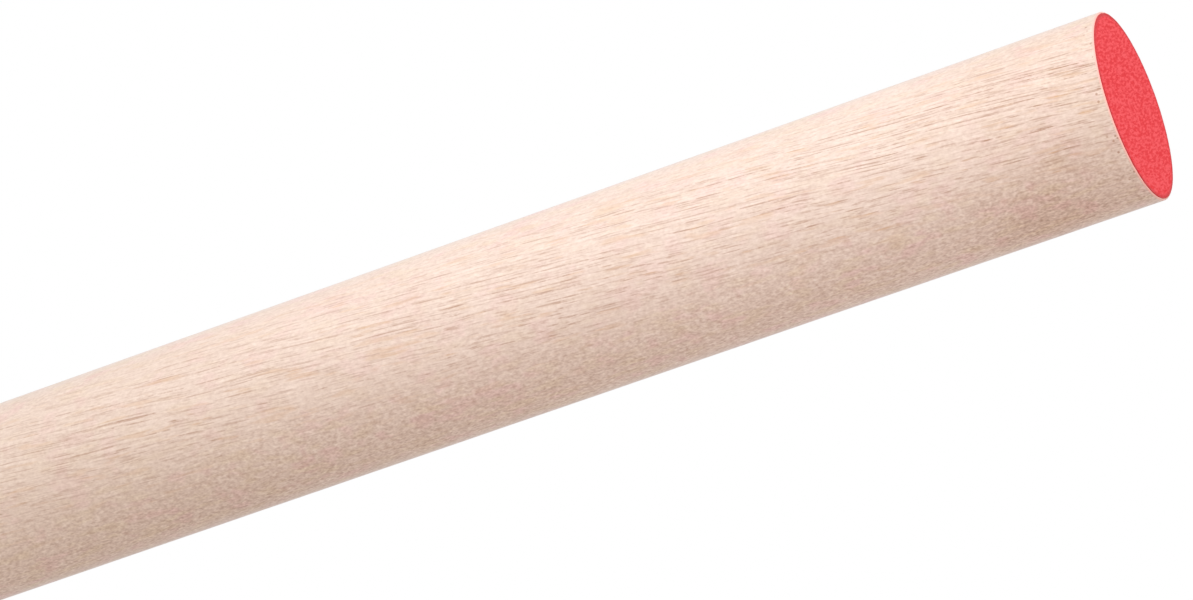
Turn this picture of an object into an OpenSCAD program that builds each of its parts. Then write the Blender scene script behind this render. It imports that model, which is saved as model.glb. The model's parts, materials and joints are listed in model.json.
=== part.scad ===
// Wooden dowel rod with one painted end.
// The rod stands on its plain sawn end: Z runs up its axis, and z = 0 is that end.

/* [Rod] */
// Diameter of the turned rod
rod_d = 25.4; // [6.35:0.05:50.8]
// Length of the rod from sawn face to sawn face
rod_length = 304.8; // [100:0.1:1220]
// Radius that sanding leaves on the rim of each sawn face
rim_r = 0.2; // [0.1:0.05:1]

/* [End paint] */
// Thickness of the paint film on the upper sawn face
paint_t = 0.1; // [0.05:0.05:0.3]
// Radius of the film's own edge, where the wet paint drew back from the rim
paint_edge_r = 0.04; // [0.02:0.01:0.04]

/* [Colours] */
// Colour of the bare wood
wood_colour = "#EDD4C4";
// Colour of the end paint
paint_colour = "#EE444B";

/* [Hidden] */
rod_r = rod_d / 2;
face_r = rod_r - rim_r;       // flat part of each sawn face
rim_steps = 4;                // chords in a quarter round of the rim
film_steps = 2;               // chords in the quarter round of the film's edge
round_fn = 180;

// Points of a quarter round about [cx, cz], from angle a0 to a0 + 90.
function quarter_round(cx, cz, r, a0, steps) =
    [for (i = [0 : steps]) let (a = a0 + 90 * i / steps) [cx + r * cos(a), cz + r * sin(a)]];

// Half section of a rod: a plain cylinder with both rims broken.
module rod_section() {
    polygon(concat(
        [[0, 0]],
        quarter_round(face_r, rim_r, rim_r, -90, rim_steps),
        quarter_round(face_r, rod_length - rim_r, rim_r, 0, rim_steps),
        [[0, rod_length]]
    ));
}

// Half section of the paint film, with its edge rounded on top.
module film_section() {
    polygon(concat(
        [[0, 0], [face_r, 0]],
        quarter_round(face_r - paint_edge_r, paint_t - paint_edge_r, paint_edge_r, 0, film_steps),
        [[0, paint_t]]
    ));
}

// The rod itself, turned from one length of wood.
module rod() {
    color(wood_colour)
        rotate_extrude($fn = round_fn)
            rod_section();
}

// The film of paint that marks the rod's size, on the flat of the upper sawn face.
module end_paint() {
    color(paint_colour)
        translate([0, 0, rod_length])
            rotate_extrude($fn = round_fn)
                film_section();
}

rod();
end_paint();
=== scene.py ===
"""The looks of a wooden dowel rod with one painted end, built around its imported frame.

The rod stands on its sawn end with its axis up. It is turned, faced and pressed with the grain
in geometry, and its wood is one solid pattern, so that the grain meets itself on every face.
"""

import json
import logging
import math
from contextlib import contextmanager
from dataclasses import dataclass, replace
from enum import Enum
from typing import Any, Callable, Iterator, Union

import bmesh
import bpy
from mathutils import Matrix, Vector

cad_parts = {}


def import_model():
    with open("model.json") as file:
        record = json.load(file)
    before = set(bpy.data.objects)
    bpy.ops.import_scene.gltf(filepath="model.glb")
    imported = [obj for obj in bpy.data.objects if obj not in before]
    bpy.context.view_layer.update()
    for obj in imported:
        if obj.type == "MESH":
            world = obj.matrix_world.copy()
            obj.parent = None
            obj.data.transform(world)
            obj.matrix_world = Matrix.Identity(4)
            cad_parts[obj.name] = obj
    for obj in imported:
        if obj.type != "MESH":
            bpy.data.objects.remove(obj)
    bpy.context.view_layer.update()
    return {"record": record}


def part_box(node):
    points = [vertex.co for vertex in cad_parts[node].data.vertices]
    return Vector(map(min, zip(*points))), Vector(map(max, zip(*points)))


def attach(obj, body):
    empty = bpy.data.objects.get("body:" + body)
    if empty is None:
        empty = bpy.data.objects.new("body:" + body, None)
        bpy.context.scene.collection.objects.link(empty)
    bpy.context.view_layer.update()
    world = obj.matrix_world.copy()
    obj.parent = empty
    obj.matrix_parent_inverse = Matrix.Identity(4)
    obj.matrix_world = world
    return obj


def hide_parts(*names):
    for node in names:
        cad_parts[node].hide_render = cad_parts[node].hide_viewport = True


MM = 0.001
TOUCHING = 0.001 * MM  # points that are nearer than this lie together
QUARTER_TURN = math.pi / 2
ACROSS = Vector((1.0, 1.0, 0.0))  # keeps the part of a place that lies across the rod
NOISE_MEAN = 0.5

Triple = tuple[float, float, float]
Colour = Triple
Operand = Union["Value", float, Triple, Vector]

WHITE: Colour = (1.0, 1.0, 1.0)

log = logging.getLogger("dowel_rod")


def outward(angle: float, up: float = 0.0) -> Vector:
    """The direction away from the rod's axis.

    Args:
        angle: Its angle round the rod from the side that faces the camera, towards +X.
        up: Its height as an angle.

    Returns:
        A vector of length 1.
    """
    level = math.cos(up)
    return Vector((level * math.sin(angle), -level * math.cos(angle), math.sin(up)))


# ---------------------------------------------------------------- shader bench


@dataclass(frozen=True)
class Patches:
    """A soft noise.

    Attributes:
        size: The size of its patches along each axis, in millimetres.
        detail: How many finer layers it has.
        roughness: How strong those layers are.
    """

    size: Triple
    detail: float = 2.0
    roughness: float = 0.5


@dataclass(frozen=True)
class Span:
    """An easing from one value to another, which holds beyond both ends.

    Attributes:
        low: The input that gives start.
        high: The input that gives end.
        start: The value at low.
        end: The value at high.
    """

    low: float
    high: float
    start: float = 0.0
    end: float = 1.0


@dataclass(frozen=True)
class Grade:
    """A number that goes evenly from one value to another as a share goes from 0 to 1.

    Attributes:
        low: The number at 0.
        high: The number at 1.
    """

    low: float
    high: float

    def at(self, share: "Value") -> "Value":
        """The number at a share."""
        return self.low + (self.high - self.low) * share


class Value:
    """The output of a shader node, on which arithmetic lays out Math nodes."""

    def __init__(self, bench: "Bench", socket: bpy.types.NodeSocket) -> None:
        """Wraps a socket.

        Args:
            bench: The bench whose tree holds the socket.
            socket: An output socket.
        """
        self.bench = bench
        self.socket = socket

    def output(self, name: str) -> "Value":
        """Another output of the same node."""
        return Value(self.bench, self.socket.node.outputs[name])

    def maths(self, operation: str, *operands: Operand) -> "Value":
        """One Math node.

        Args:
            operation: The node's operation.
            *operands: Its inputs, in order.

        Returns:
            The node's result.
        """
        return self.bench.node("ShaderNodeMath", {"operation": operation}, dict(enumerate(operands)))

    def swing(self) -> "Value":
        """How far a noise lies above its mean."""
        return self - NOISE_MEAN

    def __add__(self, other: Operand) -> "Value":
        """self + other."""
        return self.maths("ADD", self, other)

    def __radd__(self, other: Operand) -> "Value":
        """other + self."""
        return self.maths("ADD", other, self)

    def __sub__(self, other: Operand) -> "Value":
        """self - other."""
        return self.maths("SUBTRACT", self, other)

    def __rsub__(self, other: Operand) -> "Value":
        """other - self."""
        return self.maths("SUBTRACT", other, self)

    def __mul__(self, other: Operand) -> "Value":
        """self * other."""
        return self.maths("MULTIPLY", self, other)

    def __rmul__(self, other: Operand) -> "Value":
        """other * self."""
        return self.maths("MULTIPLY", other, self)

    def __abs__(self) -> "Value":
        """abs(self)."""
        return self.maths("ABSOLUTE", self)


class Outlet(Enum):
    """The node that ends a tree."""

    MATERIAL = "ShaderNodeOutputMaterial"
    WORLD = "ShaderNodeOutputWorld"


class Bench:
    """Lays out the nodes of one material's or world's tree."""

    def __init__(self, owner: bpy.types.ID, outlet: Outlet = Outlet.MATERIAL) -> None:
        """Clears the tree.

        Args:
            owner: A material or a world.
            outlet: The node that its tree ends with.
        """
        owner.use_nodes = True
        self.tree = owner.node_tree
        self.tree.nodes.clear()
        self.outlet = outlet

    def node(
        self,
        kind: str,
        settings: dict[str, Any] | None = None,
        inputs: dict[int | str, Operand] | None = None,
        output: int | str = 0,
    ) -> Value:
        """Adds a node.

        Args:
            kind: The node's type.
            settings: Its properties, which are set before its sockets.
            inputs: A value or a link for each socket, by name or place.
            output: The output that is wanted.

        Returns:
            That output.
        """
        made = self.tree.nodes.new(kind)
        for name, setting in (settings or {}).items():
            setattr(made, name, setting)
        for place, operand in (inputs or {}).items():
            self._feed(made.inputs[place], operand)
        return Value(self, made.outputs[output]) if made.outputs else Value(self, None)

    def _feed(self, socket: bpy.types.NodeSocket, operand: Operand) -> None:
        """Links a socket, or sets its value."""
        if isinstance(operand, Value):
            self.tree.links.new(operand.socket, socket)
        elif socket.type == "RGBA":
            socket.default_value = (*operand, 1.0)
        else:
            socket.default_value = operand

    def place_mm(self) -> Value:
        """The place on the piece, in millimetres."""
        place = self.node("ShaderNodeTexCoord", output="Object")
        return self.vectors("SCALE", place, Scale=1 / MM)

    def vectors(self, operation: str, *operands: Operand, **named: Operand) -> Value:
        """One Vector Math node that gives a vector.

        Args:
            operation: The node's operation.
            *operands: Its vector inputs, in order.
            **named: Inputs given by name, such as Scale.

        Returns:
            The resulting vector.
        """
        inputs = dict(enumerate(operands)) | named
        return self.node("ShaderNodeVectorMath", {"operation": operation}, inputs)

    def measure(self, operation: str, *operands: Operand) -> Value:
        """One Vector Math node that gives a number.

        Args:
            operation: The node's operation, such as a distance.
            *operands: Its vector inputs, in order.

        Returns:
            The resulting number.
        """
        inputs = dict(enumerate(operands))
        return self.node("ShaderNodeVectorMath", {"operation": operation}, inputs, output="Value")

    def parts(self, vector: Value) -> tuple[Value, Value, Value]:
        """The x, y and z of a vector."""
        split = self.node("ShaderNodeSeparateXYZ", inputs={0: vector})
        return split, split.output("Y"), split.output("Z")

    def vector(self, x: Operand, y: Operand, z: Operand) -> Value:
        """A vector made of three values."""
        return self.node("ShaderNodeCombineXYZ", inputs={0: x, 1: y, 2: z})

    def mix(self, factor: Operand, first: Operand, second: Operand, blend: str = "MIX") -> Value:
        """Two colours mixed.

        Args:
            factor: The share of the second colour.
            first: The colour at 0.
            second: The colour at 1.
            blend: How they mix.

        Returns:
            The mixed colour.
        """
        settings = {"data_type": "RGBA", "blend_type": blend}
        inputs = {0: factor, 6: first, 7: second}
        return self.node("ShaderNodeMix", settings, inputs, output=2)

    def noise(self, place: Value, patches: Patches) -> Value:
        """Soft noise.

        Args:
            place: Where it is read, in millimetres.
            patches: Its patches.

        Returns:
            The noise, from 0 to 1 about its mean. Its Color output holds three of them.
        """
        inputs = {
            "Vector": self.vectors("DIVIDE", place, patches.size),
            "Scale": 1.0,
            "Detail": patches.detail,
            "Roughness": patches.roughness,
        }
        return self.node("ShaderNodeTexNoise", inputs=inputs)

    def drift(self, place: Value, patches: Patches, width: float) -> Value:
        """A vector that wanders from place to place.

        Args:
            place: Where it is read, in millimetres.
            patches: The noise that it follows.
            width: The width that it wanders over along each axis, in millimetres.

        Returns:
            The vector.
        """
        noises = self.noise(place, patches).output("Color")
        swings = self.vectors("SUBTRACT", noises, (NOISE_MEAN, NOISE_MEAN, NOISE_MEAN))
        return self.vectors("SCALE", swings, Scale=width)

    def cells(self, place: Value, scale: float, dimensions: str = "3D") -> Value:
        """The distance to the nearest of many scattered points.

        Args:
            place: Where it is read, in millimetres.
            scale: The number of points in a millimetre.
            dimensions: 3D, or 2D where each point is a line along the third axis.

        Returns:
            The distance, times the scale. Its Color output is the point's own.
        """
        settings = {"voronoi_dimensions": dimensions}
        inputs = {"Vector": place, "Scale": scale, "Randomness": 1.0}
        return self.node("ShaderNodeTexVoronoi", settings, inputs, output="Distance")

    def ramp(self, value: Operand, span: Span) -> Value:
        """A value eased over a span."""
        inputs = {0: value, 1: span.low, 2: span.high, 3: span.start, 4: span.end}
        return self.node("ShaderNodeMapRange", {"interpolation_type": "SMOOTHSTEP"}, inputs)

    def bump(self, height: Value, depth: float) -> Value:
        """The normal of a surface that a height from 0 to 1 raises by a depth in metres."""
        inputs = {"Height": height, "Distance": depth, "Strength": 1.0}
        return self.node("ShaderNodeBump", inputs=inputs)

    def finish(self, shader: Value) -> None:
        """Ends the tree with a shader."""
        self.node(self.outlet.value, inputs={"Surface": shader})


# ---------------------------------------------------------------- finishes


@dataclass(frozen=True)
class RodSize:
    """The size of the rod, in millimetres.

    Attributes:
        radius: Its radius.
        length: Its length.
    """

    radius: float
    length: float

    def back(self, bench: Bench) -> Value:
        """How far back a place lies from the painted end."""
        return self.length - bench.parts(bench.place_mm())[2]

    def reach(self, bench: Bench, side: float) -> Value:
        """How far a place lies from the axis towards one side of the rod."""
        return bench.measure("DOT_PRODUCT", bench.place_mm(), outward(side))


@dataclass(frozen=True)
class Fibres:
    """The fibres of the wood, which lean a little out of the rod's axis and wander.

    The tubes run along them, so they run for a long way along the surface on two sides of the
    rod, and dive into it between them.

    Attributes:
        lean: How far they lean out of the axis.
        side: The way that they lean, round the rod from the side that faces the camera.
        bends: Their long bends.
        bend_width: The width that the bends wander over, in millimetres.
        kinks: Their short kinks.
        kink_width: The width that the kinks wander over, in millimetres.
    """

    lean: float = math.radians(5.5)
    side: float = math.radians(60.0)
    bends: Patches = Patches((7.0, 7.0, 15.0), detail=1.0)
    bend_width: float = 0.7
    kinks: Patches = Patches((1.2, 1.2, 1.6), detail=1.0)
    kink_width: float = 0.07

    def turn(self) -> Triple:
        """The turn that lays the Z axis along the fibres."""
        along = outward(self.side, up=QUARTER_TURN - self.lean)
        return tuple(along.to_track_quat("Z", "Y").to_euler())

    def place(self, bench: Bench) -> Value:
        """The place in the wood.

        Args:
            bench: The material's bench.

        Returns:
            The place in millimetres, with its third axis along the wandering fibres.
        """
        place = bench.place_mm()
        height = bench.parts(place)[2]
        lean = math.tan(self.lean) * outward(self.side)
        straight = bench.vectors("SUBTRACT", place, bench.vectors("SCALE", lean, Scale=height))
        bends = bench.drift(straight, self.bends, self.bend_width)
        kinks = bench.drift(straight, self.kinks, self.kink_width)
        across = bench.vectors("MULTIPLY", bench.vectors("ADD", bends, kinks), ACROSS)
        return bench.vectors("ADD", straight, across)


@dataclass(frozen=True)
class Tubes:
    """The fine open tubes that run along the fibres, with lengths in millimetres.

    Attributes:
        pitch: The mean distance between them.
        radius: The radius of the narrowest tube, and of the widest.
        wall: How far outside its radius a tube begins, and how far inside it is at its deepest.
        breaks: The noise that breaks a tube off along its length.
        whole: The values of that noise between which a tube opens up.
        apart: How far apart that noise is read from tube to tube.
        opening: How deep the shallowest tube is, and the deepest.
    """

    pitch: float = 0.32
    radius: Grade = Grade(0.0432, 0.1008)
    wall: Span = Span(0.035, -0.03)
    breaks: Patches = Patches((1.0, 1.0, 4.0), detail=4.0, roughness=0.75)
    whole: Span = Span(0.38, 0.6)
    apart: float = 40.0
    opening: Grade = Grade(0.3, 0.9)

    def depth(self, bench: Bench, fibres: Value) -> Value:
        """How deep in a tube a place is.

        Args:
            bench: The material's bench.
            fibres: The place in the wood.

        Returns:
            The depth, from 0 to 1.
        """
        cell = bench.cells(fibres, 1.0 / self.pitch, "2D")
        width = bench.node("ShaderNodeSeparateColor", inputs={0: cell.output("Color")})
        opening = width.output("Green")
        inside = bench.ramp(cell * self.pitch - self.radius.at(width), self.wall)
        height = bench.parts(fibres)[2]
        along = bench.vector(self.apart * width, self.apart * opening, height)
        whole = bench.ramp(bench.noise(along, self.breaks), self.whole)
        return inside * whole * self.opening.at(opening)


@dataclass(frozen=True)
class Wear:
    """The marks of hands, saw and paint near the painted end, and a painted highlight at its rim, with
    lengths in millimetres.

    Attributes:
        grip: How brown hands have made the wood, by its distance from the end.
        smudge_side: The side of the rod that has a smudge.
        smudge_back: How far the smudge's middle lies from the end.
        smudge: How brown the smudge is, by the distance from its middle.
        smudge_waver: The width that the smudge's edge wanders over.
        smudge_share: The share of the browning that the smudge adds.
        nick_scale: The number of nicks in a millimetre, before most of them are left out.
        nick: How dark a nick is, by the distance from its middle, as a share of their spacing.
        nick_rim: Which nicks stay, by their distance from the end.
        tinge_and_highlight_rim: How much the paint tinges the wood, with a painted highlight, by the
            distance from the end.
    """

    grip: Span = Span(29.8, 8.8, end=0.4)
    smudge_side: float = math.radians(58.0)
    smudge_back: float = 12.8
    smudge: Span = Span(10.5, 3.5)
    smudge_waver: float = 14.0
    smudge_share: float = 0.6
    nick_scale: float = 0.9
    nick: Span = Span(0.2, 0.1, end=0.7)
    nick_rim: Span = Span(2.0, 1.2)
    # The paint's tinge at the rim is partly a painted highlight of the rim's pale line.
    tinge_and_highlight_rim: Span = Span(0.24, 0.08)

    def browning(self, bench: Bench, rod: RodSize, clouds: Value) -> Value:
        """How brown hands have made a place near the painted end.

        Args:
            bench: The material's bench.
            rod: The rod's size.
            clouds: The wood's soft clouds.

        Returns:
            The browning, from 0 to 1.
        """
        middle = rod.radius * outward(self.smudge_side)
        middle.z = rod.length - self.smudge_back
        far = bench.measure("DISTANCE", bench.place_mm(), middle)
        smudge = bench.ramp(far + self.smudge_waver * clouds.swing(), self.smudge)
        return bench.ramp(rod.back(bench), self.grip) + self.smudge_share * smudge

    def nicks(self, bench: Bench, rod: RodSize) -> Value:
        """The dark nicks in the wood at the painted end's rim, from 0 to 1."""
        cell = bench.cells(bench.place_mm(), self.nick_scale)
        return bench.ramp(cell, self.nick) * bench.ramp(rod.back(bench), self.nick_rim)

    def rim_tinge_and_highlight(self, bench: Bench, rod: RodSize) -> Value:
        """How much the paint tinges the wood at the painted end's rim, with a painted highlight, from 0
        to 1.
        """
        return bench.ramp(rod.back(bench), self.tinge_and_highlight_rim)


@dataclass(frozen=True)
class WoodPattern:
    """The parts of the wood's pattern at a place, each on the same bench.

    Attributes:
        place: The place on the rod, in millimetres.
        fibres: The place in the wood, along its fibres.
        back: How far back it lies from the painted end.
        under: How far it lies from the axis towards the under side.
        openness: How open the wood is, from 0 in the dense part to 1.
        clouds: Soft clouds.
        browning: How brown hands have made it.
        threads: Fine threads along the fibres.
        specks: Fine specks.
        strength: How strongly all fine marks show.
        pore_strength: How strongly pores show.
        tubes: How deep in a tube it is, as far as tubes show.
    """

    place: Value
    fibres: Value
    back: Value
    under: Value
    openness: Value
    clouds: Value
    browning: Value
    threads: Value
    specks: Value
    strength: Value
    pore_strength: Value
    tubes: Value


@dataclass(frozen=True)
class WoodFinish:
    """Pale, straight-grained hardwood with fine open vessels, as one solid pattern.

    Lengths are in millimetres. A Grade gives a number in the dense wood and in the open wood.

    Attributes:
        rod: The size of the rod that is made of it.
        name: The material's name.
        fibres: Its fibres.
        tubes: Its tubes.
        wear: The marks near the painted end.
        pale: The main colour of the wood.
        rosy: The colour of its pinker clouds.
        straw: The colour of its yellower clouds.
        vessel: The colour inside an open tube.
        resin: The colour of wood that resin has stained.
        paint_tinge_and_highlight: The colour of wood that the paint has tinged, brighter in red as a
            painted highlight on the rim.
        depth: How far red, green and blue each fall where the wood is darker.
        far_painted_shade: Painted shade: what the colour is multiplied by far from the painted end,
            towards the floor.
        end_tone: What it is multiplied by where hands have browned it.
        open_side: One of the two sides of the rod that have the most open wood.
        open_reach: How open the wood is, by how far it lies towards those sides.
        open_patches: The noise that breaks up their edge.
        open_waver: The width that the edge wanders over.
        calm_side: The side that has the most even wood.
        calm: How strong marks are, by how far a place lies towards that side.
        under_side: The side that has the coarsest specks, and where the painted shade reaches nearest
            to the painted end.
        coarse: How much stronger marks are, by how far a place lies towards the under side.
        grimy: How much stronger they are where hands have browned the wood.
        pore_fade: How strong pores are, by the distance from the painted end.
        fade: How much of the painted shade there is, by that distance.
        painted_shade_lean: How much further from the end a place counts for each millimetre under the
            axis, so that the painted shade falls sooner on the under side.
        cloud_patches: The size of the soft clouds.
        cloud_tone: How much they lighten and darken.
        rosy_patches: The noise that the pinker clouds follow.
        rosy_clear: Where in that noise they begin, and are full.
        rosy_share: How pink they are.
        straw_patches: The noise that the yellower clouds follow.
        straw_clear: Where in that noise they begin, and are full.
        straw_share: How yellow they are.
        resin_patches: The noise that the resin follows.
        resin_clear: Where in that noise it begins, and is full.
        resin_share: How strong it is.
        threads: The noise of the fine threads.
        thread_tone: How much they lighten and darken.
        line: Where in that noise a thread is a dark line.
        line_share: How dark such a line is.
        specks: The noise of the fine specks.
        speck_tone: How much they lighten and darken.
        tube_strength: How strongly tubes show.
        tube_share: How dark a tube is at its deepest.
        roughness: The roughness of the sanded surface.
        roughness_swing: The width that it varies over.
        gloss: The specular level.
        fuzz: How much fine fuzz the sanding leaves.
        fuzz_roughness: How evenly the fuzz glows.
        fuzz_tint: The colour of its glow.
        tube_depth: The depth of a tube that is cut open, in metres.
        fibre_relief: The height of threads and specks, as a share of that depth.
    """

    rod: RodSize
    name: str = "bare_wood"
    fibres: Fibres = Fibres()
    tubes: Tubes = Tubes()
    wear: Wear = Wear()

    pale: Colour = (0.893, 0.687, 0.584)
    rosy: Colour = (0.905, 0.630, 0.568)
    straw: Colour = (0.882, 0.678, 0.535)
    vessel: Colour = (0.490, 0.255, 0.165)
    resin: Colour = (0.770, 0.460, 0.260)
    # A pink tinge of paint at the rim, partly a painted highlight.
    paint_tinge_and_highlight: Colour = (0.990, 0.540, 0.460)
    depth: Triple = (0.75, 1.0, 1.12)
    # Painted shade: the colour is darkened by this far from the painted end, standing in for light that
    # falls off towards the floor.
    far_painted_shade: Colour = (0.865, 0.860, 0.835)
    end_tone: Colour = (0.895, 0.845, 0.805)

    open_side: float = math.radians(-22.0)
    open_reach: Span = Span(7.0, 12.5)
    open_patches: Patches = Patches((9.0, 9.0, 30.0), detail=1.0)
    open_waver: float = 6.0
    calm_side: float = math.radians(-80.0)
    calm: Span = Span(8.5, 13.0, start=1.0, end=0.62)
    under_side: float = math.radians(90.0)
    coarse: Span = Span(8.0, 12.5, end=0.35)
    grimy: float = 0.3
    pore_fade: Span = Span(154.8, 14.8, start=0.75)
    # Where the painted shade falls, and how much sooner it falls on the under side.
    fade: Span = Span(54.8, 174.8)
    painted_shade_lean: float = 2.2

    cloud_patches: Patches = Patches((5.0, 5.0, 9.0))
    cloud_tone: float = 0.04
    rosy_patches: Patches = Patches((2.8, 2.8, 3.8))
    rosy_clear: Span = Span(0.5, 0.68)
    rosy_share: Grade = Grade(0.75, 0.4)
    straw_patches: Patches = Patches((1.4, 1.4, 4.5))
    straw_clear: Span = Span(0.46, 0.7)
    straw_share: Grade = Grade(0.9, 0.4)
    resin_patches: Patches = Patches((0.8, 0.8, 6.0))
    resin_clear: Span = Span(0.56, 0.68)
    resin_share: Grade = Grade(0.084, 0.28)
    threads: Patches = Patches((0.27, 0.27, 6.0), roughness=0.7)
    thread_tone: Grade = Grade(0.2, 0.5)
    line: Span = Span(0.42, 0.32)
    line_share: float = 0.35
    specks: Patches = Patches((0.42, 0.42, 0.68), detail=1.0, roughness=0.8)
    speck_tone: Grade = Grade(0.95, 0.4)
    tube_strength: Grade = Grade(0.15, 1.0)
    tube_share: float = 0.95

    roughness: float = 0.68
    roughness_swing: float = 0.2
    gloss: float = 0.25
    fuzz: float = 0.9
    fuzz_roughness: float = 0.3
    fuzz_tint: Colour = (0.92, 0.92, 0.93)
    tube_depth: float = 0.012 * MM
    fibre_relief: float = 0.25

    def pattern(self, bench: Bench) -> WoodPattern:
        """Lays out the parts of the wood's pattern.

        Args:
            bench: The material's bench.

        Returns:
            The parts.
        """
        place = bench.place_mm()
        fibres = self.fibres.place(bench)
        back = self.rod.back(bench)
        under = self.rod.reach(bench, self.under_side)
        ragged = self.open_waver * bench.noise(place, self.open_patches).swing()
        openness = bench.ramp(abs(self.rod.reach(bench, self.open_side)) + ragged, self.open_reach)
        clouds = bench.noise(place, self.cloud_patches)
        browning = self.wear.browning(bench, self.rod, clouds)
        strength = bench.ramp(self.rod.reach(bench, self.calm_side), self.calm)
        strength = strength + bench.ramp(under, self.coarse) + self.grimy * browning
        pore_strength = strength * bench.ramp(back, self.pore_fade)
        tubes = self.tubes.depth(bench, fibres) * self.tube_strength.at(openness) * pore_strength
        return WoodPattern(
            place=place,
            fibres=fibres,
            back=back,
            under=under,
            openness=openness,
            clouds=clouds,
            browning=browning,
            threads=bench.noise(fibres, self.threads),
            specks=bench.noise(fibres, self.specks),
            strength=strength,
            pore_strength=pore_strength,
            tubes=tubes,
        )

    def clouded(self, bench: Bench, wood: WoodPattern) -> Value:
        """The colour of the wood with its clouds and its fine light and dark marks.

        Args:
            bench: The material's bench.
            wood: The wood's pattern.

        Returns:
            The colour.
        """
        rosy = bench.ramp(bench.noise(wood.place, self.rosy_patches), self.rosy_clear)
        straw = bench.ramp(bench.noise(wood.fibres, self.straw_patches), self.straw_clear)
        colour = bench.mix(rosy * self.rosy_share.at(wood.openness), self.pale, self.rosy)
        colour = bench.mix(straw * self.straw_share.at(wood.openness), colour, self.straw)
        tone = self.cloud_tone * wood.clouds.swing()
        tone = tone + self.speck_tone.at(wood.openness) * wood.specks.swing()
        tone = tone + self.thread_tone.at(wood.openness) * wood.threads.swing()
        shift = bench.vectors("SCALE", self.depth, Scale=wood.strength * tone)
        return bench.vectors("MULTIPLY_ADD", colour, shift, colour)

    def grained(self, bench: Bench, wood: WoodPattern, colour: Value) -> Value:
        """Adds the dark lines, the resin and the tubes.

        Args:
            bench: The material's bench.
            wood: The wood's pattern.
            colour: The colour of the wood between them.

        Returns:
            The colour with them.
        """
        lines = bench.ramp(wood.threads, self.line) * wood.openness * wood.pore_strength
        resin = bench.ramp(bench.noise(wood.fibres, self.resin_patches), self.resin_clear)
        colour = bench.mix(self.line_share * lines, colour, self.vessel)
        colour = bench.mix(resin * self.resin_share.at(wood.openness), colour, self.resin)
        inside = bench.mix(resin, self.vessel, self.resin)
        return bench.mix(self.tube_share * wood.tubes, colour, inside)

    def aged_with_painted_shade(self, bench: Bench, wood: WoodPattern, colour: Value) -> Value:
        """Adds painted shade, darker away from the painted end and sooner on the under side, and the
        wear near it, with a painted highlight at its rim.

        Args:
            bench: The material's bench.
            wood: The wood's pattern.
            colour: The colour of the clean wood.

        Returns:
            The colour with both.
        """
        # Painted shade: darker away from the painted end and sooner on the under side, where less light
        # falls.
        far = bench.ramp(wood.back + self.painted_shade_lean * wood.under, self.fade)
        colour = bench.mix(far, colour, self.far_painted_shade, "MULTIPLY")
        colour = bench.mix(wood.browning, colour, self.end_tone, "MULTIPLY")
        colour = bench.mix(self.wear.nicks(bench, self.rod), colour, self.vessel)
        # The paint's tinge at the rim, partly a painted highlight.
        return bench.mix(self.wear.rim_tinge_and_highlight(bench, self.rod), colour, self.paint_tinge_and_highlight)

    def material(self) -> bpy.types.Material:
        """Lays out the wood.

        Returns:
            The material.
        """
        made = bpy.data.materials.new(self.name)
        bench = Bench(made)
        wood = self.pattern(bench)
        colour = self.clouded(bench, wood)
        colour = self.grained(bench, wood, colour)
        colour = self.aged_with_painted_shade(bench, wood, colour)
        fine = self.fibre_relief * wood.threads.swing() + self.fibre_relief * wood.specks.swing()
        shader = bench.node(
            "ShaderNodeBsdfPrincipled",
            inputs={
                "Base Color": colour,
                "Roughness": self.roughness + self.roughness_swing * wood.specks.swing(),
                "Specular IOR Level": self.gloss,
                "Sheen Weight": self.fuzz,
                "Sheen Roughness": self.fuzz_roughness,
                "Sheen Tint": self.fuzz_tint,
                "Normal": bench.bump(1.0 - wood.tubes + fine, self.tube_depth),
            },
        )
        bench.finish(shader)
        return made


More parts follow.
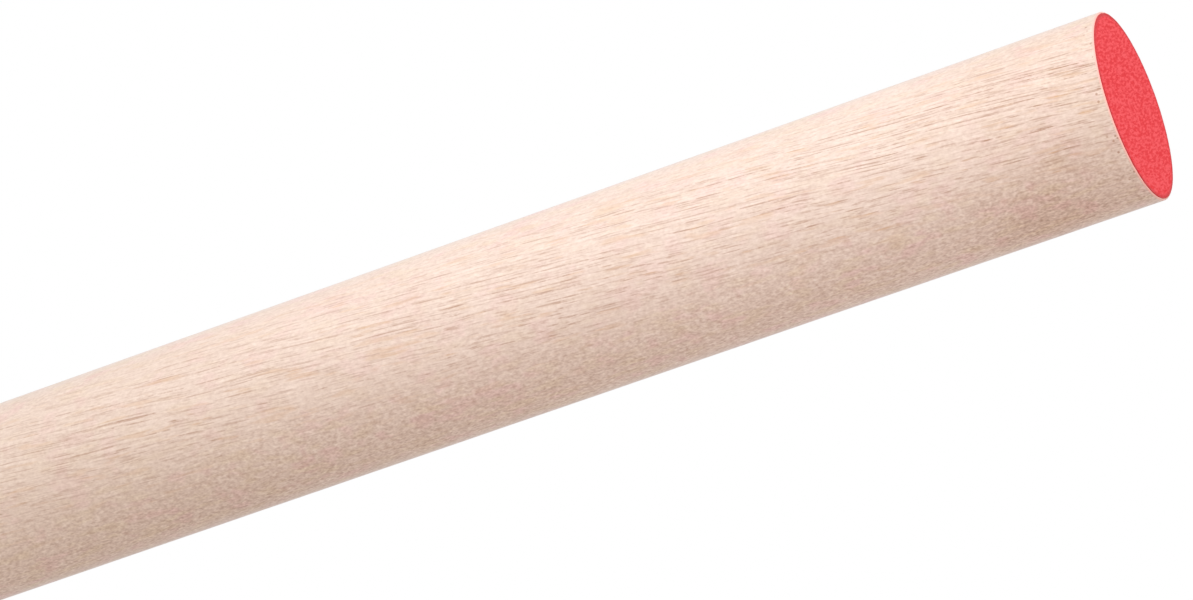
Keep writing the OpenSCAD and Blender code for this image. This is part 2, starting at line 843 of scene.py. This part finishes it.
@dataclass(frozen=True)
class PaintFinish:
    """Thin matte paint on end grain, which still shows through it.

    Lengths are in millimetres, but for the depth of the tooth.

    Attributes:
        radius: The radius of the film.
        name: The material's name.
        full: The colour where the paint covers the wood well.
        thin: The colour where it is thin.
        rim: The colour of its edge.
        rings: The noise of the growth rings, by the distance from the axis.
        ring_share: How much of the cover they decide.
        tooth: The noise of the cut ends of the fibres, drawn out along the wood's rays.
        tooth_share: How much of the cover they decide.
        cover: The values of both between which the paint goes from thin to full.
        edge: How much of a place is edge, by its distance from the film's outline.
        edge_waver: The width that the edge wanders over.
        edge_share: How strong the edge's colour is.
        roughness: The roughness of the paint.
        roughness_swing: The width that it varies over.
        gloss: The specular level.
        tooth_depth: The depth of the tooth, in metres.
    """

    radius: float
    name: str = "red_end_paint"
    full: Colour = (0.930, 0.092, 0.107)
    thin: Colour = (0.800, 0.020, 0.029)
    rim: Colour = (0.420, 0.030, 0.030)
    rings: Patches = Patches((0.6, 0.6, 0.6), detail=1.0)
    ring_share: float = 0.15
    tooth: Patches = Patches((0.33, 1.4, 0.4), roughness=0.7)
    tooth_share: float = 0.85
    cover: Span = Span(0.38, 0.62)
    edge: Span = Span(0.7, 0.15)
    edge_waver: float = 0.4
    edge_share: float = 0.55
    roughness: float = 0.6
    roughness_swing: float = 0.15
    gloss: float = 0.1
    tooth_depth: float = 0.02 * MM

    def material(self) -> bpy.types.Material:
        """Lays out the paint.

        Returns:
            The material.
        """
        made = bpy.data.materials.new(self.name)
        bench = Bench(made)
        place = bench.place_mm()
        reach = bench.measure("LENGTH", bench.vectors("MULTIPLY", place, ACROSS))
        rings = bench.noise(bench.vector(reach, 0.0, 0.0), self.rings)
        tooth = bench.noise(place, self.tooth)
        cover = bench.ramp(self.ring_share * rings + self.tooth_share * tooth, self.cover)
        edge = bench.ramp(self.radius - reach - self.edge_waver * tooth.swing(), self.edge)
        colour = bench.mix(cover, self.thin, self.full)
        colour = bench.mix(self.edge_share * edge, colour, self.rim)
        shader = bench.node(
            "ShaderNodeBsdfPrincipled",
            inputs={
                "Base Color": colour,
                "Roughness": self.roughness + self.roughness_swing * tooth.swing(),
                "Specular IOR Level": self.gloss,
                "Normal": bench.bump(tooth, self.tooth_depth),
            },
        )
        bench.finish(shader)
        return made


@dataclass(frozen=True)
class FloorFinish:
    """Pale floor that gives way to plain white away from the rod.

    Attributes:
        name: The material's name.
        colour: The floor's colour.
        centre: The middle of the plain floor.
        fade: How white the floor looks, by the distance from that middle in metres.
    """

    name: str = "pale_floor"
    colour: Colour = (0.86, 0.86, 0.86)
    centre: Triple = (0.09, 0.03, 0.0)
    fade: Span = Span(0.13, 0.26)

    def material(self) -> bpy.types.Material:
        """Lays out the floor.

        Returns:
            The material.
        """
        made = bpy.data.materials.new(self.name)
        bench = Bench(made)
        place = bench.node("ShaderNodeTexCoord", output="Object")
        far = bench.ramp(bench.measure("DISTANCE", place, self.centre), self.fade)
        seen = bench.node("ShaderNodeLightPath", output="Is Camera Ray")
        paint = bench.node("ShaderNodeBsdfDiffuse", inputs={"Color": self.colour})
        white = bench.node("ShaderNodeEmission", inputs={"Color": WHITE, "Strength": 1.0})
        bench.finish(bench.node("ShaderNodeMixShader", inputs={0: far * seen, 1: paint, 2: white}))
        return made


# ---------------------------------------------------------------- modelling


class Pick(Enum):
    """The kind of element that a selection is made of."""

    POINTS = "VERT"
    EDGES = "EDGE"
    FACES = "FACE"


def select_only(piece: bpy.types.Object) -> None:
    """Makes a piece the only selected object, and the active one."""
    bpy.ops.object.select_all(action="DESELECT")
    piece.select_set(True)
    bpy.context.view_layer.objects.active = piece


@contextmanager
def editing(piece: bpy.types.Object) -> Iterator[None]:
    """Opens a piece in edit mode, and closes it again."""
    select_only(piece)
    bpy.ops.object.mode_set(mode="EDIT")
    yield
    bpy.ops.object.mode_set(mode="OBJECT")


def pick(kind: Pick, wanted: Callable[[Any], bool]) -> None:
    """Selects, in the mesh being edited, only the elements that pass a test.

    Args:
        kind: The kind of element.
        wanted: Says whether an element is selected.
    """
    mesh = bpy.context.edit_object.data
    bpy.ops.mesh.select_mode(type=kind.value)
    bpy.ops.mesh.select_all(action="DESELECT")
    shape = bmesh.from_edit_mesh(mesh)
    elements = {Pick.POINTS: shape.verts, Pick.EDGES: shape.edges, Pick.FACES: shape.faces}
    for element in elements[kind]:
        element.select_set(wanted(element))
    shape.select_flush_mode()
    bmesh.update_edit_mesh(mesh)


def mark_region(piece: bpy.types.Object, name: str, wanted: Callable[[Any], bool]) -> None:
    """Names the points of a piece that pass a test as a vertex group.

    Args:
        piece: The piece.
        name: The group's name.
        wanted: Says whether a point belongs to it.
    """
    with editing(piece):
        pick(Pick.POINTS, wanted)
        bpy.ops.object.vertex_group_add()
        piece.vertex_groups.active.name = name
        bpy.ops.object.vertex_group_assign()


def fill_disc(sides: int) -> None:
    """Lays an even grid inside the selected round outline, with a quarter of its sides on each edge."""
    bpy.ops.mesh.fill_grid(span=sides // 4, use_interp_simple=False)


@dataclass(frozen=True)
class Relief:
    """A pattern that is pressed into a surface.

    Attributes:
        name: The pattern's name.
        kind: The type of texture.
        settings: The texture's own settings.
        size: The size of the pattern along each of its axes, in metres.
        depth: How deep it goes, in metres.
        turn: How the pattern is turned.
        centre: Where its centre lies.
        direction: The direction that it is pressed against.
        middle: The pattern's value that leaves the surface where it is.
    """

    name: str
    kind: str
    settings: dict[str, Any]
    size: Triple
    depth: float
    turn: Triple = (0.0, 0.0, 0.0)
    centre: Triple = (0.0, 0.0, 0.0)
    direction: str = "NORMAL"
    middle: float = 1.0

    def press(self, piece: bpy.types.Object, region: str = "") -> None:
        """Presses the pattern into a piece, and applies it.

        Args:
            piece: The piece.
            region: The vertex group that takes the pattern, or nothing for all of it.
        """
        texture = bpy.data.textures.new(self.name, self.kind)
        for name, setting in self.settings.items():
            setattr(texture, name, setting)
        bpy.ops.object.empty_add(location=self.centre, rotation=self.turn)
        guide = bpy.context.object
        guide.scale = self.size
        select_only(piece)
        bpy.ops.object.modifier_add(type="DISPLACE")
        displace = piece.modifiers[-1]
        displace.texture = texture
        displace.texture_coords = "OBJECT"
        displace.texture_coords_object = guide
        displace.direction = self.direction
        displace.mid_level = self.middle
        displace.strength = self.depth
        displace.vertex_group = region
        bpy.context.view_layer.update()
        bpy.ops.object.modifier_apply(modifier=displace.name)
        bpy.data.objects.remove(guide)
        bpy.data.textures.remove(texture)


def dress(piece: bpy.types.Object, material: bpy.types.Material) -> None:
    """Gives a piece one material over all its faces."""
    piece.data.materials.clear()
    piece.data.materials.append(material)


class RodEnd(Enum):
    """The rod's two ends, each with the way that its face looks along the axis."""

    SAWN = -1
    PAINTED = 1


@dataclass
class TurnedRod:
    """The rod, turned from one length of wood, with its rims broken by sanding.

    Attributes:
        radius: The rod's radius.
        length: Its length.
        rim: The radius of its broken rims.
        wood: What it is made of.
        sides: The number of sides round the rod.
        rings: The number of cuts along it.
        rim_steps: The number of steps round each rim.
        crease: The angle past which an edge looks sharp.
        grain: The raised grain on its sides, before it is laid along the fibres.
        saw_marks: The marks of the saw on its bare end.
    """

    radius: float
    length: float
    rim: float
    wood: WoodFinish
    sides: int = 384
    rings: int = 100
    rim_steps: int = 4
    crease: float = math.radians(35.0)
    grain: Relief = Relief(
        name="raised_grain",
        kind="CLOUDS",
        settings={"noise_scale": 1.0, "noise_depth": 2},
        size=(1.0 * MM, 1.0 * MM, 22.0 * MM),
        depth=0.03 * MM,
    )
    saw_marks: Relief = Relief(
        name="saw_marks",
        kind="WOOD",
        settings={"wood_type": "RINGNOISE", "noise_scale": 0.6, "turbulence": 3.0},
        size=(3.6 * MM, 3.6 * MM, 3.6 * MM),
        depth=0.06 * MM,
        centre=(110 * MM, 60 * MM, 0.0),
    )

    def on_end(self, place: Vector, end: RodEnd) -> bool:
        """Whether a point lies on the flat of an end."""
        height = self.length if end is RodEnd.PAINTED else 0.0
        return abs(place.z - height) < TOUCHING

    def turn(self) -> bpy.types.Object:
        """The bare cylinder with both rims broken.

        Returns:
            The piece, with one face over each end.
        """
        bpy.ops.object.select_all(action="DESELECT")
        bpy.ops.mesh.primitive_cylinder_add(
            vertices=self.sides,
            radius=self.radius,
            depth=self.length,
            end_fill_type="NGON",
            location=(0.0, 0.0, self.length / 2),
        )
        piece = bpy.context.object
        bpy.ops.object.transform_apply(location=True, rotation=True, scale=True)
        piece.name = "turned_rod"
        with editing(piece):
            pick(Pick.EDGES, lambda edge: edge.verts[0].co.z == edge.verts[1].co.z)
            bpy.ops.mesh.bevel(offset=self.rim, segments=self.rim_steps, affect="EDGES")
        return piece

    def cut_rings(self, piece: bpy.types.Object) -> None:
        """Cuts the long sides across, so that they can take the grain's relief."""
        with editing(piece):
            pick(Pick.EDGES, lambda edge: edge.calc_length() > self.length / 2)
            bpy.ops.mesh.subdivide(number_cuts=self.rings, quadcorner="INNERVERT")

    def face(self, piece: bpy.types.Object, end: RodEnd) -> None:
        """Lays an even grid over the flat of an end.

        Args:
            piece: The rod.
            end: The end that is faced.
        """
        with editing(piece):
            pick(Pick.FACES, lambda face: all(self.on_end(v.co, end) for v in face.verts))
            bpy.ops.mesh.delete(type="ONLY_FACE")
            pick(Pick.EDGES, lambda edge: all(self.on_end(v.co, end) for v in edge.verts))
            fill_disc(self.sides)
            bpy.ops.mesh.select_all(action="SELECT")
            bpy.ops.mesh.normals_make_consistent(inside=False)

    def press_relief(self, piece: bpy.types.Object) -> None:
        """Presses the grain into the sides and the saw's marks into the bare end."""
        mark_region(piece, "side", lambda point: self.rim < point.co.z < self.length - self.rim)
        mark_region(piece, "bare_end", lambda point: self.on_end(point.co, RodEnd.SAWN))
        replace(self.grain, turn=self.wood.fibres.turn()).press(piece, "side")
        self.saw_marks.press(piece, "bare_end")

    def build(self) -> bpy.types.Object:
        """Makes the rod.

        Returns:
            The finished piece, dressed and riding on the frame.
        """
        piece = self.turn()
        self.cut_rings(piece)
        for end in RodEnd:
            self.face(piece, end)
        self.press_relief(piece)
        select_only(piece)
        bpy.ops.object.shade_smooth_by_angle(angle=self.crease)
        dress(piece, self.wood.material())
        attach(piece, "root")
        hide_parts("rod")
        return piece


@dataclass
class EndPaint:
    """The film of paint on the flat of the upper end.

    Attributes:
        radius: The radius of the flat that it covers.
        low: The height of the wood under it.
        high: The height of its own face.
        paint: What it is made of.
        sides: The number of sides round it.
        edge: The radius of its rounded edge.
        edge_steps: The number of steps round that edge.
        crease: The angle past which an edge looks sharp.
        waver: How far its outline wanders in and out.
        wavering: The pattern that the outline follows.
        wavers: Each way that the outline is moved, with how far off the pattern is read for it.
        tooth: The relief of the end grain in its face.
    """

    radius: float
    low: float
    high: float
    paint: PaintFinish
    sides: int = 384
    edge: float = 0.04 * MM
    edge_steps: int = 2
    crease: float = math.radians(50.0)
    waver: float = 0.05 * MM
    wavering: Relief = Relief(
        name="wavering_edge",
        kind="CLOUDS",
        settings={"noise_scale": 1.0, "noise_depth": 2},
        size=(0.9 * MM, 0.9 * MM, 0.9 * MM),
        depth=0.0,
        middle=NOISE_MEAN,
    )
    wavers: tuple[tuple[str, float], ...] = (("X", 100 * MM), ("Y", 300 * MM))
    tooth: Relief = Relief(
        name="end_grain_tooth",
        kind="CLOUDS",
        settings={"noise_scale": 1.0, "noise_depth": 1},
        size=(0.7 * MM, 0.7 * MM, 0.7 * MM),
        depth=0.02 * MM,
    )

    def spread(self) -> bpy.types.Object:
        """The even film, with a rounded edge.

        Returns:
            The piece.
        """
        bpy.ops.object.select_all(action="DESELECT")
        bpy.ops.mesh.primitive_circle_add(
            vertices=self.sides,
            radius=self.radius - self.waver,
            fill_type="NOTHING",
            location=(0.0, 0.0, self.low),
        )
        piece = bpy.context.object
        bpy.ops.object.transform_apply(location=True, rotation=True, scale=True)
        piece.name = "red_paint_film"
        with editing(piece):
            bpy.ops.mesh.select_all(action="SELECT")
            self.raise_edge()
            self.close(self.low)
            self.close(self.high)
            bpy.ops.mesh.select_all(action="SELECT")
            bpy.ops.mesh.normals_make_consistent(inside=False)
        return piece

    def raise_edge(self) -> None:
        """Raises the selected outline to the film's face, and rolls it over the rounded edge."""
        wall = self.high - self.low - self.edge
        bpy.ops.mesh.extrude_edges_move(TRANSFORM_OT_translate={"value": (0.0, 0.0, wall)})
        radius = self.radius - self.waver
        reach, height = radius, 0.0
        for step in range(1, self.edge_steps + 1):
            turn = QUARTER_TURN * step / self.edge_steps
            next_reach = radius - self.edge * (1 - math.cos(turn))
            next_height = self.edge * math.sin(turn)
            rise = (0.0, 0.0, next_height - height)
            bpy.ops.mesh.extrude_edges_move(TRANSFORM_OT_translate={"value": rise})
            shrink = next_reach / reach
            bpy.ops.transform.resize(value=(shrink, shrink, 1.0), center_override=(0.0, 0.0, 0.0))
            reach, height = next_reach, next_height

    def close(self, height: float) -> None:
        """Lays an even grid inside the outline at a height."""
        pick(Pick.EDGES, lambda edge: all(abs(v.co.z - height) < TOUCHING for v in edge.verts))
        fill_disc(self.sides)

    def press_relief(self, piece: bpy.types.Object) -> None:
        """Lets the outline wander, and presses the end grain's tooth into the face."""
        mark_region(piece, "face", lambda point: point.co.z > self.high - TOUCHING)
        middle = (self.high + self.low) / 2
        for direction, off in self.wavers:
            centre = (off, off, middle)
            outline = replace(self.wavering, direction=direction, centre=centre, depth=2 * self.waver)
            outline.press(piece)
        self.tooth.press(piece, "face")

    def build(self) -> bpy.types.Object:
        """Makes the film.

        Returns:
            The finished piece, dressed and riding on the frame.
        """
        piece = self.spread()
        self.press_relief(piece)
        select_only(piece)
        bpy.ops.object.shade_smooth_by_angle(angle=self.crease)
        dress(piece, self.paint.material())
        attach(piece, "root")
        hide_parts("end_paint")
        return piece


# ---------------------------------------------------------------- studio


@dataclass(frozen=True)
class Softbox:
    """A square lamp.

    Attributes:
        name: Its name.
        side: The length of its side.
        distance: How far it stands from the rod.
        round: Its direction round the rod, from the side that faces the camera.
        up: Its height as an angle.
        power: Its power in watts.
        colour: The colour of its light.
    """

    name: str
    side: float
    distance: float
    round: float
    up: float
    power: float
    colour: Colour

    def hang(self, target: Vector) -> None:
        """Hangs the lamp so that it faces a point."""
        away = outward(self.round, self.up)
        bpy.ops.object.light_add(type="AREA", location=target + self.distance * away)
        lamp = bpy.context.object
        lamp.name = self.name
        lamp.rotation_euler = away.to_track_quat("Z", "Y").to_euler()
        lamp.data.size = self.side
        lamp.data.energy = self.power
        lamp.data.color = self.colour


@dataclass(frozen=True)
class Studio:
    """The floor, the lamp, the white surroundings and the camera.

    Attributes:
        floor: The floor's finish.
        floor_radius: The floor's radius.
        floor_sides: The number of sides round it.
        surround: The colour of the light that comes from all round.
        key: The main lamp.
        aim: The height that it faces, as a share of the rod's length.
        lens: The camera's focal length in millimetres.
        down: The angle at which the camera looks down.
        lean: The angle of the rod above the level in the picture.
        offset: The painted end's place from the camera: right, up and away.
    """

    floor: FloorFinish = FloorFinish()
    floor_radius: float = 0.6
    floor_sides: int = 96
    surround: Colour = (0.632, 0.572, 0.540)
    key: Softbox = Softbox(
        name="key_softbox",
        side=0.8,
        distance=1.0,
        round=math.radians(-52.0),
        up=math.radians(41.0),
        power=7.9,
        colour=(0.79, 0.93, 1.0),
    )
    aim: float = 0.55
    lens: float = 185.0
    down: float = math.radians(19.22)
    lean: float = math.radians(19.25)
    offset: Triple = (68.46 * MM, 24.77 * MM, 780.58 * MM)

    def lay_floor(self) -> bpy.types.Object:
        """Lays the floor.

        Returns:
            The floor.
        """
        bpy.ops.object.select_all(action="DESELECT")
        bpy.ops.mesh.primitive_circle_add(
            vertices=self.floor_sides, radius=self.floor_radius, fill_type="NGON"
        )
        made = bpy.context.object
        made.name = "floor"
        dress(made, self.floor.material())
        return made

    def light(self, length: float) -> None:
        """Hangs the lamp and lights the surroundings, which look white.

        Args:
            length: The rod's length.
        """
        self.key.hang(Vector((0.0, 0.0, self.aim * length)))
        world = bpy.data.worlds.new("white_surround")
        bpy.context.scene.world = world
        bench = Bench(world, Outlet.WORLD)
        rays = bench.node("ShaderNodeLightPath", output="Is Camera Ray")
        seen = rays.maths("MAXIMUM", rays, rays.output("Is Glossy Ray"))
        seen = seen.maths("MAXIMUM", seen, rays.output("Is Transmission Ray"))
        colour = bench.mix(seen, self.surround, WHITE)
        bench.finish(bench.node("ShaderNodeBackground", inputs={"Color": colour, "Strength": 1.0}))

    def place_camera(self, end: Vector) -> None:
        """Sets the camera up, leaning, so that the rod crosses the picture.

        Args:
            end: The middle of the painted end.
        """
        back = Vector((0.0, -math.cos(self.down), math.sin(self.down)))
        side = Vector((1.0, 0.0, 0.0))
        along = back.cross(side)
        right = math.cos(self.lean) * along + math.sin(self.lean) * side
        up = back.cross(right)
        offset_right, offset_up, away = self.offset
        place = end - offset_right * right - offset_up * up + away * back
        bpy.ops.object.camera_add(location=place)
        camera = bpy.context.object
        camera.name = "camera"
        camera.rotation_euler = Matrix((right, up, back)).transposed().to_euler()
        camera.data.lens = self.lens
        bpy.context.scene.camera = camera


def main() -> None:
    """Builds the rod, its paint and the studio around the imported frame."""
    logging.basicConfig(level=logging.INFO, format="%(name)s: %(message)s")
    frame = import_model()
    bpy.context.scene.view_settings.view_transform = "Standard"

    shank = next(m for m in frame["record"]["mounts"] if m["name"] == "shank")
    radius = shank["dims"]["r_mm"] * MM
    film_low, film_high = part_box("end_paint")
    length = film_low.z
    rim = radius - film_high.x

    rod = TurnedRod(radius, length, rim, WoodFinish(RodSize(radius / MM, length / MM)))
    film = EndPaint(film_high.x, film_low.z, film_high.z, PaintFinish(film_high.x / MM))
    for piece in (rod.build(), film.build()):
        log.info("%s: %d faces", piece.name, len(piece.data.polygons))

    studio = Studio()
    studio.lay_floor()
    studio.light(length)
    studio.place_camera(Vector((0.0, 0.0, film_high.z)))
    log.info("studio: floor, key softbox and camera")


if __name__ == "__main__":
    main()
